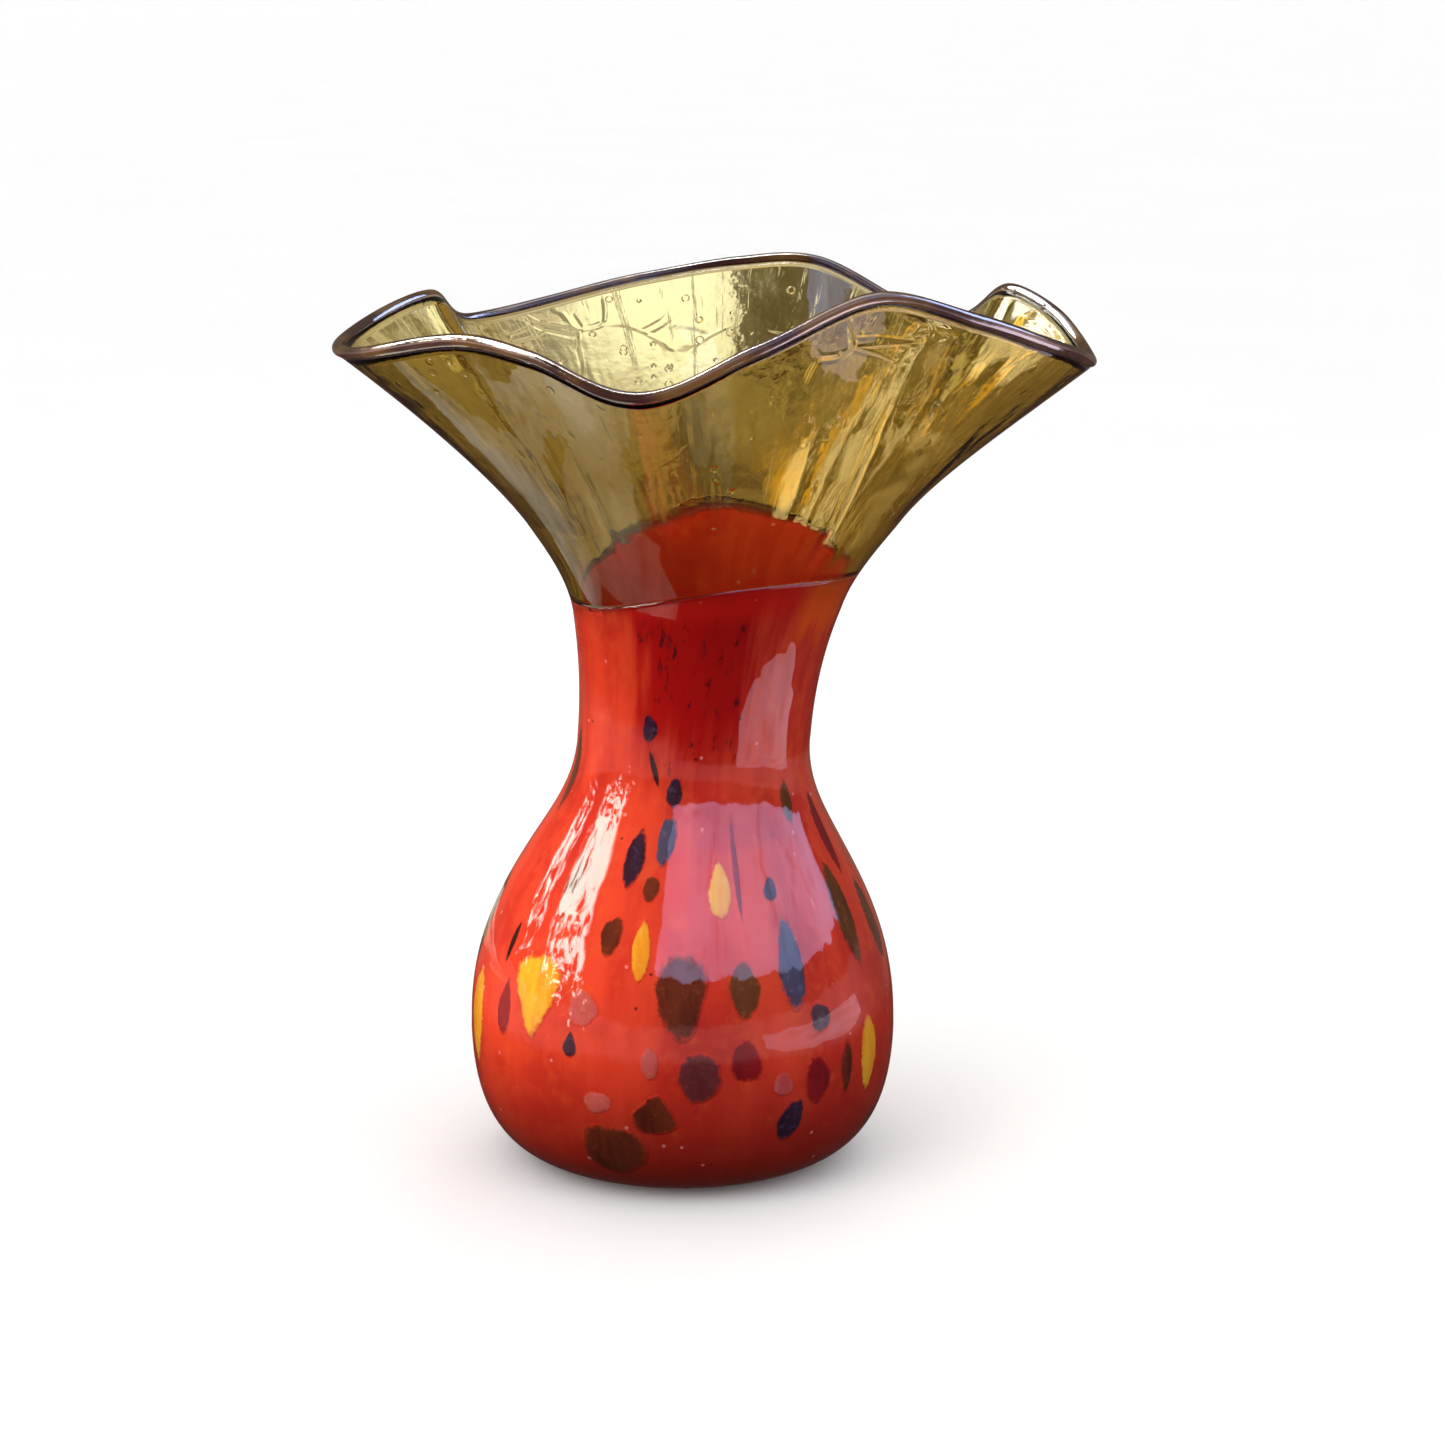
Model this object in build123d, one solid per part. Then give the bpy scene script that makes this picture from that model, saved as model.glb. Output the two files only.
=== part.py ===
from build123d import *
import os
from math import cos, hypot, pi, radians, sin, sqrt

# Hand blown vase, standing on z = 0 with the axis of its foot on the Z axis.
# The front of the vase faces -Y.  Azimuths run from the front (-Y) towards the right (+X).
os.makedirs("parts", exist_ok=True)

# ---------------------------------------------------------------- driving dimensions (mm, degrees)
WALL = 3.6                  # whole thickness of the blown wall
LIP_WALL = 2.8              # the amber wall thins to this at the rim
CASING = 1.4                # clear gather over the colour
CHIP = 0.5                  # thickness of a colour chip, let into the inside of the casing
FLOOR = 9.0                 # thickness of the floor inside the foot
FLOOR_FADE = 26.0           # height over which the heavy floor fades into the wall
LIP_BEAD = 1.9              # radius of the seat for the bead wrapped round the rim
BEAD_GAP = 0.03             # the bead is this much smaller than its seat
BEAD_START = 27             # azimuth where the two halves of the bead are joined
RINGS_PER_CURVE = 4         # stacked circles to each curve of the body
LINE_STEPS = 5              # steps along each curve of the mouth
SEARCH_STEPS = 30           # halvings when a height is looked up on a curve

# Outer profile as cubic curves, each point (radius, height, sideways drift of the axis).
FOOT = [(33.0, 0.0, 0.0), (53.0, 0.9, 0.0), (63.0, 12.5, 0.0), (63.0, 42.0, 0.0)]
SHOULDER = [(63.0, 42.0, 0.0), (63.0, 64.0, 0.0), (54.5, 80.0, 0.3), (47.0, 93.0, 1.0)]
WAIST = [(47.0, 93.0, 1.0), (40.1, 105.0, 1.7), (34.2, 113.0, 2.6), (34.2, 127.0, 3.6)]
NECK = [(34.2, 127.0, 3.6), (34.2, 142.0, 4.8), (36.2, 154.0, 5.9), (39.2, 165.0, 7.4)]
FLARE = [(39.2, 165.0, 7.4), (41.9, 174.9, 8.1), (48.8, 183.3, 8.8), (54.5, 191.0, 9.2)]
BODY_PROFILE = [FOOT, SHOULDER, WAIST, NECK, FLARE]

# Ruffled rim: five high and five low folds, each row (azimuth, radius, height, slope of the wall).
RIM_DRIFT = 10.0
RIM = [
    (-92, 106.0, 240.5, 38), (-70, 106.5, 240.5, 40), (-45, 97.5, 247.5, 52),
    (-29, 99.5, 245.0, 48), (-11, 103.5, 236.0, 40), (6, 98.5, 247.5, 50),
    (27, 93.5, 260.0, 60), (46, 98.5, 252.5, 52), (66, 105.0, 242.0, 42),
    (87, 106.5, 235.5, 38), (103, 101.5, 246.0, 46), (115, 96.0, 251.0, 58),
    (138, 103.5, 238.0, 38), (160, 94.5, 255.0, 58), (176, 95.5, 254.5, 56),
    (193, 99.5, 249.5, 46), (226, 105.0, 239.0, 38), (243, 96.5, 249.0, 58),
]
FLARE_REACH = 15.0          # how far the mouth follows the slope of the flare
RIM_REACH = 30.0            # how far the slope at the rim is felt down the wall
RING_STEPS = 120            # sections round the mouth

# Wavy seam between the body and the amber mouth, a shallow saddle leaning back and right.
SEAM_HEIGHT = 176.8
SEAM_CENTRE = 8.0
SEAM_TILT_BACK = 0.1125
SEAM_TILT_RIGHT = 0.0934
SEAM_SADDLE = 0.00222
SEAM_TWIST = -0.0015
SEAM_SPAN = 75.0
SEAM_DEPTH = 260.0
SEAM_GRID_HALF = 3          # grid steps from the middle of the seam sheet to its side

# Chip outlines: (pointed ends, narrowing towards the top, wobble of the edge).
LEAF = (0.45, 0.0, 0.03)
DROP = (0.15, 0.35, 0.03)
TAIL = (0.15, -0.35, 0.06)
ROUND = (0.0, 0.0, 0.04)
PATCH = (0.0, 0.10, 0.13)
CHIP_CORNERS = 12           # points of a chip's outline
CHIP_TURN = 1.7             # radians by which the edge wobble turns from chip to chip
PUNCH_RISE = 3.0            # how far a chip's outline is lifted off the wall before it is punched
PUNCH_MARGIN = 4.0          # extra depth of the punch

# Colour chips: (colour, azimuth, height, width, length, lean, outline).
CHIPS = [
    ("brown", -77, 118, 6.0, 28, 0, LEAF),
    ("brown", -11.5, 92.5, 5.0, 8, 0, ROUND),
    ("brown", -22, 79.7, 6.5, 12, 4, PATCH),
    ("brown", 0, 64, 15.5, 26, 0, TAIL),
    ("brown", -7, 29.5, 13, 12, 10, PATCH),
    ("brown", -19, 17.5, 20, 19, 0, ROUND),
    ("brown", 50, 38, 5.0, 17, 0, LEAF),
    ("brown", 78, 74, 10, 28, -3, LEAF),
    ("brown", 104, 50, 13, 24, 5, TAIL),
    ("brown", 156, 66, 15, 22, -8, PATCH),
    ("brown", 218, 42, 16, 17, 0, ROUND),
    ("navy", -20, 99.5, 6.4, 18.5, 2, LEAF),
    ("navy", -22.8, 135, 4.8, 8, 0, PATCH),
    ("navy", -7.8, 117.5, 5.0, 9, 0, DROP),
    ("navy", 31, 91, 4.5, 8, 8, DROP),
    ("navy", -30.5, 48.5, 4.3, 8, 0, DROP),
    ("navy", 40.5, 54.5, 8.0, 8.5, 0, ROUND),
    ("navy", 31, 26, 8.0, 14, 25, DROP),
    ("navy", 118, 84, 6.5, 16, 0, LEAF),
    ("navy", 174, 45, 6.5, 11, 0, DROP),
    ("blue", -8.5, 104.5, 5.5, 15.5, 2, PATCH),
    ("blue", 33, 71.5, 9.0, 28, 0, DROP),
    ("blue", 168, 90, 6.5, 22, 0, LEAF),
    ("yellow", 12.5, 92, 6.6, 17.5, 0, DROP),
    ("yellow", -44, 60.5, 15.5, 26, 0, TAIL),
    ("yellow", -74, 47, 12, 30, 0, LEAF),
    ("yellow", -12, 76, 5.4, 19, 0, LEAF),
    ("yellow", 60.5, 39, 9.0, 25, 0, LEAF),
    ("yellow", 127, 56, 12, 25, 0, DROP),
    ("yellow", 187, 62, 9.0, 24, 4, LEAF),
    ("crimson", 19, 97, 1.8, 34, 0, LEAF),
    ("crimson", 70, 101, 6.0, 29, 0, LEAF),
    ("crimson", -56, 54, 6.8, 17, 0, DROP),
    ("crimson", 17.5, 45, 9.5, 13, 0, PATCH),
    ("crimson", 39, 36, 9.0, 15, 0, ROUND),
    ("crimson", 112, 22, 12, 14, 0, PATCH),
    ("crimson", 204, 82, 7.0, 26, 0, LEAF),
    ("olive", -88, 72, 14, 33, 0, LEAF),
    ("olive", -42, 92, 5.0, 24, 0, LEAF),
    ("olive", 50, 112, 5.0, 14, 0, LEAF),
    ("olive", 60, 80, 9.5, 35, 0, LEAF),
    ("olive", 17.8, 65, 9.5, 17, 0, TAIL),
    ("olive", 71, 15, 8.0, 9, 0, ROUND),
    ("olive", 140, 96, 7.0, 26, 0, LEAF),
    ("olive", 234, 76, 10, 30, 0, LEAF),
    ("pink", -27.5, 59.5, 10, 10.5, 0, ROUND),
    ("pink", -22.5, 32.5, 8.5, 7, 0, ROUND),
    ("pink", -8, 45, 5.5, 9.5, 0, ROUND),
    ("pink", 28, 37, 6.5, 7.5, 0, ROUND),
    ("pink", 142, 32, 9.0, 11, 0, ROUND),
    ("mauve", 5, 41.5, 13, 15.5, 8, ROUND),
    ("mauve", 190, 28, 14, 16, 0, PATCH),
    ("black", -19, 123.5, 1.8, 12, -20, LEAF),
    ("black", -59, 72, 2.4, 14, 6, LEAF),
]


# ---------------------------------------------------------------- profile geometry
def bezier(points, t):
    """Point on a cubic curve given by four control points."""
    weights = ((1 - t) ** 3, 3 * (1 - t) ** 2 * t, 3 * (1 - t) * t ** 2, t ** 3)
    return tuple(sum(w * p[k] for w, p in zip(weights, points)) for k in range(3))


def slope(points, t):
    """Unit direction (outward, upward) of a cubic curve at t."""
    weights = ((1 - t) ** 2, 2 * (1 - t) * t, t ** 2)
    run = sum(w * (points[i + 1][0] - points[i][0]) for i, w in enumerate(weights))
    rise = sum(w * (points[i + 1][1] - points[i][1]) for i, w in enumerate(weights))
    length = hypot(run, rise)
    return run / length, rise / length


def inset(points, t, depth):
    """Point of a profile curve moved straight into the wall by depth."""
    radius, height, drift = bezier(points, t)
    run, rise = slope(points, t)
    return radius - depth * rise, height + depth * run, drift


def around(radius, height, drift, azimuth):
    """Place a profile point at an azimuth."""
    angle = radians(azimuth)
    return Vector(drift + radius * sin(angle), -radius * cos(angle), height)


def even(count, last=True):
    """Evenly spaced parameters from 0 towards 1."""
    steps = [k / count for k in range(count)]
    return steps + [1.0] if last else steps


# ---------------------------------------------------------------- body: stacked circles
def blown_solid(depth_at):
    """Solid bounded by the body profile moved inwards by depth_at(height)."""
    rings = []
    for curve in BODY_PROFILE:
        for t in even(RINGS_PER_CURVE, last=curve is FLARE):
            depth = depth_at(bezier(curve, t)[1])
            radius, height, drift = inset(curve, t, depth)
            rings.append(Wire.make_circle(radius, Plane((drift, 0, height))))
    return Solid.make_loft(rings)


def hollow_depth(height):
    """Distance from the outside to the hollow: the wall, thickening into the floor."""
    fade = max(0.0, 1 - height / FLOOR_FADE)
    return WALL + (FLOOR - WALL) * fade ** 2


def below_wavy_seam():
    """Everything below the wavy seam, out past the neck."""
    grid = []
    places = [SEAM_SPAN * k / SEAM_GRID_HALF for k in range(-SEAM_GRID_HALF, SEAM_GRID_HALF + 1)]
    for x in places:
        row = []
        for y in places:
            height = SEAM_HEIGHT + SEAM_TILT_BACK * y + SEAM_TILT_RIGHT * x
            height += SEAM_SADDLE * (y ** 2 - x ** 2) + SEAM_TWIST * x * y
            row.append(Vector(SEAM_CENTRE + x, y, height))
        grid.append(row)
    sheet = Face.make_surface_from_array_of_points(grid)
    return Solid.extrude(sheet, Vector(0, 0, -SEAM_DEPTH))


# ---------------------------------------------------------------- mouth: wall sections round the axis
def rim_at(azimuth):
    """Smooth radius, height and slope of the rim between the listed folds."""
    count = len(RIM)
    turned = (azimuth - RIM[0][0]) % 360 + RIM[0][0]
    index = max(i for i in range(count) if RIM[i][0] <= turned)
    rows = []
    for offset in (-1, 0, 1, 2):
        lap, place = divmod(index + offset, count)
        rows.append((RIM[place][0] + 360 * lap,) + RIM[place][1:])
    before, start, end, after = rows
    span = end[0] - start[0]
    t = (turned - start[0]) / span
    values = []
    for k in (1, 2, 3):
        leave = (end[k] - before[k]) / (end[0] - before[0]) * span
        arrive = (after[k] - start[k]) / (after[0] - start[0]) * span
        value = (2 * t ** 3 - 3 * t ** 2 + 1) * start[k] + (t ** 3 - 2 * t ** 2 + t) * leave
        value += (3 * t ** 2 - 2 * t ** 3) * end[k] + (t ** 3 - t ** 2) * arrive
        values.append(value)
    return values


def ruffle(azimuth):
    """Profile curve from the top of the flare out to the rim at an azimuth."""
    radius, height, lean = rim_at(azimuth)
    run, rise = slope(FLARE, 1.0)
    base = FLARE[3]
    leave = (base[0] + FLARE_REACH * run, base[1] + FLARE_REACH * rise, base[2])
    back = RIM_REACH * cos(radians(lean))
    down = RIM_REACH * sin(radians(lean))
    return [base, leave, (radius - back, height - down, RIM_DRIFT), (radius, height, RIM_DRIFT)]


def mouth_lines(azimuth):
    """Outer and inner lines of the amber wall, from the neck up to the rim."""
    curve = ruffle(azimuth)
    outer = []
    inner = []
    for part, thin in ((FLARE, 0.0), (curve, WALL - LIP_WALL)):
        for t in even(LINE_STEPS, last=part is curve):
            outer.append(around(*bezier(part, t), azimuth))
            inner.append(around(*inset(part, t, WALL - thin * t), azimuth))
    return outer, inner


def bead_frame(azimuth):
    """Centre of the rim bead with the outward and along-wall directions of its section."""
    curve = ruffle(azimuth)
    run, rise = slope(curve, 1.0)
    middle = around(*inset(curve, 1.0, LIP_WALL / 2), azimuth)
    level = Vector(sin(radians(azimuth)), -cos(radians(azimuth)), 0)
    along = level * run + Vector(0, 0, rise)
    outward = level * rise - Vector(0, 0, run)
    seat = sqrt(LIP_BEAD ** 2 - (LIP_WALL / 2) ** 2)
    return middle + along * seat, outward, along


def mouth_section(azimuth):
    """Closed outline of the amber wall, hollowed at the top to seat the bead."""
    outer, inner = mouth_lines(azimuth)
    centre, _, along = bead_frame(azimuth)
    outside = Edge.make_spline(outer, parameters=even(len(outer) - 1))
    seat = Edge.make_three_point_arc(outer[-1], centre - along * LIP_BEAD, inner[-1])
    inside = Edge.make_spline(inner[::-1], parameters=even(len(inner) - 1))
    foot = Edge.make_line(inner[0], outer[0])
    return Wire([outside, seat, inside, foot])


def bead_section(azimuth):
    """Round section of the bead."""
    centre, outward, along = bead_frame(azimuth)
    return Wire.make_circle(LIP_BEAD - BEAD_GAP, Plane(centre, x_dir=outward, z_dir=outward.cross(along)))


def closed_ring(section):
    """Ring solid through sections all the way round the axis."""
    sections = [section(360 * k / RING_STEPS) for k in range(RING_STEPS)]
    return Solid.make_loft(sections + [sections[0]])


def paired_ring(section):
    """Ring solid made of two half rings joined end to end."""
    sections = [section(BEAD_START + 360 * k / RING_STEPS) for k in range(RING_STEPS + 1)]
    middle = RING_STEPS // 2
    return Solid.make_loft(sections[:middle + 1]) + Solid.make_loft(sections[middle:])


# ---------------------------------------------------------------- chips
def wall_plane(azimuth, height):
    """Plane tangent to the outside of the body, its Y axis running up the wall."""
    curve = next(c for c in BODY_PROFILE if height <= c[3][1])
    low, high = 0.0, 1.0
    for _ in range(SEARCH_STEPS):
        middle = (low + high) / 2
        if bezier(curve, middle)[1] < height:
            low = middle
        else:
            high = middle
    run, rise = slope(curve, low)
    angle = radians(azimuth)
    outward = Vector(rise * sin(angle), -rise * cos(angle), -run)
    sideways = Vector(cos(angle), sin(angle), 0)
    return Plane(around(*bezier(curve, low), azimuth), x_dir=sideways, z_dir=outward)


def chip_outline(width, length, lean, outline, turn):
    """Closed outline of a chip, its long way up the wall."""
    point, narrow, wobble = outline
    corners = []
    for k in range(CHIP_CORNERS):
        angle = 2 * pi * k / CHIP_CORNERS
        waver = 1 + wobble * cos(3 * angle + turn) + wobble / 2 * sin(4 * angle + 2 * turn)
        across = width / 2 * sin(angle) * abs(sin(angle)) ** point
        across *= waver * (1 - narrow * cos(angle))
        up = length / 2 * cos(angle) * (1 + (waver - 1) * width / length)
        corners.append(Vector(across, up, 0).rotate(Axis.Z, -lean))
    return Face(Wire([Edge.make_spline(corners, periodic=True)]))


def cut_chip(shell, index, row):
    """One chip: the thin shell under the casing inside the chip's outline."""
    azimuth, height, width, length, lean, outline = row[1:]
    plane = wall_plane(azimuth, height)
    face = chip_outline(width, length, lean, outline, CHIP_TURN * index)
    face = plane.from_local_coords(face).moved(Location(plane.z_dir * PUNCH_RISE))
    reach = PUNCH_RISE + length / 3 + PUNCH_MARGIN
    punch = Solid.extrude(face, plane.z_dir * -reach)
    return (shell & punch).solids()[0]


# ---------------------------------------------------------------- build the pieces
whole = blown_solid(lambda height: 0.0)
chip_top = blown_solid(lambda height: CASING - CHIP)
coloured = blown_solid(lambda height: CASING)
hollow = blown_solid(hollow_depth)
below_seam = below_wavy_seam()

pieces = {}
shell = chip_top - coloured
counts = {}
chips = []
for index, row in enumerate(CHIPS):
    colour = row[0]
    counts[colour] = counts.get(colour, 0) + 1
    chip = cut_chip(shell, index, row)
    chips.append(chip)
    pieces[f"{colour}_chip_{counts[colour]:02d}"] = chip

pieces["clear_casing"] = ((whole - coloured) & below_seam) - chips
pieces["orange_red_core"] = (coloured - hollow) & below_seam
pieces["amber_mouth"] = closed_ring(mouth_section) - below_seam
pieces["lip_wrap"] = paired_ring(bead_section)

for name, piece in pieces.items():
    solids = piece.solids()
    assert len(solids) == 1, (name, len(solids))
    export_step(solids[0], f"parts/{name}.step")
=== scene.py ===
import math
import random

import bpy
import numpy as np
from mathutils import Matrix, Vector


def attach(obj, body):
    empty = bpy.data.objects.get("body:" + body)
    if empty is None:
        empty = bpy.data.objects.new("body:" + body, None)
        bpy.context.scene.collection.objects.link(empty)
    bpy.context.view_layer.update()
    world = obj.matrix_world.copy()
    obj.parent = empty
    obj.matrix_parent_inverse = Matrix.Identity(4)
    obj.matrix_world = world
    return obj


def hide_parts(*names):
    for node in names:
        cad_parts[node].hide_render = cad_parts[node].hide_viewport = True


# Hand blown vase in Blender: fine glass meshes on the CAD frame, node materials, studio light.
# Lengths are written in mm and turned to metres by MM.  Azimuths run from the front (-Y) to the right (+X).
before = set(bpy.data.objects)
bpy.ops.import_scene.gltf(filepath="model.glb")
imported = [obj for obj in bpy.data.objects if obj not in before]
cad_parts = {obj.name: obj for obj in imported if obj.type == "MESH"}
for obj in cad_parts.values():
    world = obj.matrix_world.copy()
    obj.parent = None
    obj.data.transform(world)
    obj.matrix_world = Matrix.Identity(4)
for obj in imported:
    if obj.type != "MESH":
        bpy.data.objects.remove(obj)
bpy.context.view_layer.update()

# ---------------------------------------------------------------- driving dimensions (mm)
MM = 0.001                  # metres in a millimetre
WALL = 3.6                  # whole thickness of the blown wall
LIP_WALL = 2.8              # the amber wall thins to this at the rim
CASING = 1.4                # clear gather over the colour
CHIP = 0.5                  # thickness of a colour chip, let into the inside of the casing
FLOOR = 9.0                 # thickness of the floor inside the foot
FLOOR_FADE = 26.0           # height over which the heavy floor fades into the wall
LIP_BEAD = 1.9              # radius of the bead wrapped round the rim
DIMPLE = 0.03               # scale of the outer surface's unevenness
CASING_SINK = 0.06          # the casing's inside lies this far within the colour
CHIP_SINK = 0.12            # a chip's underside lies this far within the colour

# ---------------------------------------------------------------- how finely the meshes are cut
ROUND_STEPS = 288           # points round the axis
NECK_ROWS = 30              # rows of quads from the waist to the seam
MOUTH_ROWS = 64             # rows of quads from the seam to the rim
BEAD_SIDES = 28             # points round the bead's section
CHIP_RINGS = 9              # rings of quads across a chip
CHIP_SIDES = 64             # points round a chip
PROFILE_STEPS = 120         # rows of the profile table to each curve
SEARCH_STEPS = 24           # halvings when the seam is looked up on the wall

# Outer profile as cubic curves, each point (radius, height, sideways drift of the axis).
FOOT = [(33.0, 0.0, 0.0), (53.0, 0.9, 0.0), (63.0, 12.5, 0.0), (63.0, 42.0, 0.0)]
SHOULDER = [(63.0, 42.0, 0.0), (63.0, 64.0, 0.0), (54.5, 80.0, 0.3), (47.0, 93.0, 1.0)]
WAIST = [(47.0, 93.0, 1.0), (40.1, 105.0, 1.7), (34.2, 113.0, 2.6), (34.2, 127.0, 3.6)]
NECK = [(34.2, 127.0, 3.6), (34.2, 142.0, 4.8), (36.2, 154.0, 5.9), (39.2, 165.0, 7.4)]
FLARE = [(39.2, 165.0, 7.4), (41.9, 174.9, 8.1), (48.8, 183.3, 8.8), (54.5, 191.0, 9.2)]
BODY_ROWS = ((FOOT, 26), (SHOULDER, 24), (WAIST, 20))       # rows of quads to each curve

# Wavy seam between the body and the amber mouth, a shallow saddle leaning back and right.
SEAM_HEIGHT = 176.8
SEAM_CENTRE = 8.0
SEAM_TILT_BACK = 0.1125
SEAM_TILT_RIGHT = 0.0934
SEAM_SADDLE = 0.00222
SEAM_TWIST = 0.0015
SEAM_LAP = 0.006            # the amber starts this much of a curve below the seam

# Ruffled rim: five high and five low folds, each row (azimuth, radius, height, slope of the wall).
RIM = [
    (-92, 106.0, 240.5, 38), (-70, 106.5, 240.5, 40), (-45, 97.5, 247.5, 52),
    (-29, 99.5, 245.0, 48), (-11, 103.5, 236.0, 40), (6, 98.5, 247.5, 50),
    (27, 93.5, 260.0, 60), (46, 98.5, 252.5, 52), (66, 105.0, 242.0, 42),
    (87, 106.5, 235.5, 38), (103, 101.5, 246.0, 46), (115, 96.0, 251.0, 58),
    (138, 103.5, 238.0, 38), (160, 94.5, 255.0, 58), (176, 95.5, 254.5, 56),
    (193, 99.5, 249.5, 46), (226, 105.0, 239.0, 38), (243, 96.5, 249.0, 58),
]
RIM_DRIFT = 10.0            # sideways drift of the rim's axis
FLARE_REACH = 15.0          # how far the mouth follows the slope of the flare
RIM_REACH = 30.0            # how far the slope at the rim is felt down the wall

# Creases pressed into the mouth's folds: (azimuth, half width, depth).
CREASES = [(37, 9, 1.3), (-30, 10, 0.7), (150, 10, 0.9), (-118, 11, 0.9)]
# Where a crease begins and ends along the wall: 1 to 2 is the flare, 2 to 3 the ruffle.
CREASE_START = 1.35
CREASE_GROW = 0.5
CREASE_STOP = 2.85
CREASE_FADE = 0.6

# Chip outlines: (pointed ends, narrowing towards the top, wobble of the edge).
LEAF = (0.45, 0.0, 0.03)
DROP = (0.15, 0.35, 0.03)
TAIL = (0.15, -0.35, 0.06)
ROUND = (0.0, 0.0, 0.04)
PATCH = (0.0, 0.10, 0.08)
CHIP_TURN = 1.7             # radians by which the edge wobble turns from chip to chip
CHIP_RAGGED = 0.055         # further raggedness of a chip's edge

# Colour chips: (colour, azimuth, height, width, length, lean, outline), in the order of the CAD nodes.
CHIPS = [
    ("brown", -77, 118, 6.0, 28, 0, LEAF),
    ("brown", -11.5, 92.5, 5.0, 8, 0, ROUND),
    ("brown", -22, 79.7, 6.5, 12, 4, PATCH),
    ("brown", 0, 64, 15.5, 26, 0, TAIL),
    ("brown", -7, 29.5, 13, 12, 10, PATCH),
    ("brown", -19, 17.5, 20, 19, 0, ROUND),
    ("brown", 50, 38, 5.0, 17, 0, LEAF),
    ("brown", 78, 74, 10, 28, -3, LEAF),
    ("brown", 104, 50, 13, 24, 5, TAIL),
    ("brown", 156, 66, 15, 22, -8, PATCH),
    ("brown", 218, 42, 16, 17, 0, ROUND),
    ("navy", -20, 99.5, 6.4, 18.5, 2, LEAF),
    ("navy", -22.8, 135, 4.8, 8, 0, PATCH),
    ("navy", -7.8, 117.5, 5.0, 9, 0, DROP),
    ("navy", 31, 91, 4.5, 8, 8, DROP),
    ("navy", -30.5, 48.5, 4.3, 8, 0, DROP),
    ("navy", 40.5, 54.5, 8.0, 8.5, 0, ROUND),
    ("navy", 31, 26, 8.0, 14, 25, DROP),
    ("navy", 118, 84, 6.5, 16, 0, LEAF),
    ("navy", 174, 45, 6.5, 11, 0, DROP),
    ("blue", -8.5, 104.5, 5.5, 15.5, 2, PATCH),
    ("blue", 33, 71.5, 9.0, 28, 0, DROP),
    ("blue", 168, 90, 6.5, 22, 0, LEAF),
    ("yellow", 12.5, 92, 6.6, 17.5, 0, DROP),
    ("yellow", -44, 60.5, 15.5, 26, 0, TAIL),
    ("yellow", -74, 47, 12, 30, 0, LEAF),
    ("yellow", -12, 76, 5.4, 19, 0, LEAF),
    ("yellow", 60.5, 39, 9.0, 25, 0, LEAF),
    ("yellow", 127, 56, 12, 25, 0, DROP),
    ("yellow", 187, 62, 9.0, 24, 4, LEAF),
    ("crimson", 19, 97, 1.8, 34, 0, LEAF),
    ("crimson", 70, 101, 6.0, 29, 0, LEAF),
    ("crimson", -56, 54, 6.8, 17, 0, DROP),
    ("crimson", 17.5, 45, 9.5, 13, 0, PATCH),
    ("crimson", 39, 36, 9.0, 15, 0, ROUND),
    ("crimson", 112, 22, 12, 14, 0, PATCH),
    ("crimson", 204, 82, 7.0, 26, 0, LEAF),
    ("olive", -88, 72, 14, 33, 0, LEAF),
    ("olive", -42, 92, 5.0, 24, 0, LEAF),
    ("olive", 50, 112, 5.0, 14, 0, LEAF),
    ("olive", 60, 80, 9.5, 35, 0, LEAF),
    ("olive", 17.8, 65, 9.5, 17, 0, TAIL),
    ("olive", 71, 15, 8.0, 9, 0, ROUND),
    ("olive", 140, 96, 7.0, 26, 0, LEAF),
    ("olive", 234, 76, 10, 30, 0, LEAF),
    ("pink", -27.5, 59.5, 10, 10.5, 0, ROUND),
    ("pink", -22.5, 32.5, 8.5, 7, 0, ROUND),
    ("pink", -8, 45, 5.5, 9.5, 0, ROUND),
    ("pink", 28, 37, 6.5, 7.5, 0, ROUND),
    ("pink", 142, 32, 9.0, 11, 0, ROUND),
    ("mauve", 5, 41.5, 13, 15.5, 8, ROUND),
    ("mauve", 190, 28, 14, 16, 0, PATCH),
    ("black", -19, 123.5, 1.8, 12, -20, LEAF),
    ("black", -59, 72, 2.4, 14, 6, LEAF),
]


# ---------------------------------------------------------------- the shape of the wall
def bezier(points, t):
    """Point on a cubic curve given by four control points."""
    weights = ((1 - t) ** 3, 3 * (1 - t) ** 2 * t, 3 * (1 - t) * t ** 2, t ** 3)
    return tuple(sum(w * p[k] for w, p in zip(weights, points)) for k in range(3))


def slope(points, t):
    """Unit direction (outward, upward) of a cubic curve at t."""
    weights = ((1 - t) ** 2, 2 * (1 - t) * t, t ** 2)
    run = sum(w * (points[i + 1][0] - points[i][0]) for i, w in enumerate(weights))
    rise = sum(w * (points[i + 1][1] - points[i][1]) for i, w in enumerate(weights))
    length = math.hypot(run, rise)
    return run / length, rise / length


def inset(points, t, depth):
    """Point of a profile curve moved straight into the wall by depth."""
    radius, height, drift = bezier(points, t)
    run, rise = slope(points, t)
    return radius - depth * rise, height + depth * run, drift


def around(point, azimuth):
    """Place a profile point at an azimuth in radians, still in mm."""
    radius, height, drift = point
    return Vector((drift + radius * math.sin(azimuth), -radius * math.cos(azimuth), height))


def seam_height(x, y):
    """Height of the wavy seam between the body and the amber mouth."""
    across = x - SEAM_CENTRE
    lean = SEAM_TILT_BACK * y + SEAM_TILT_RIGHT * across
    return SEAM_HEIGHT + lean + SEAM_SADDLE * (y * y - across * across) - SEAM_TWIST * across * y


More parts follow.
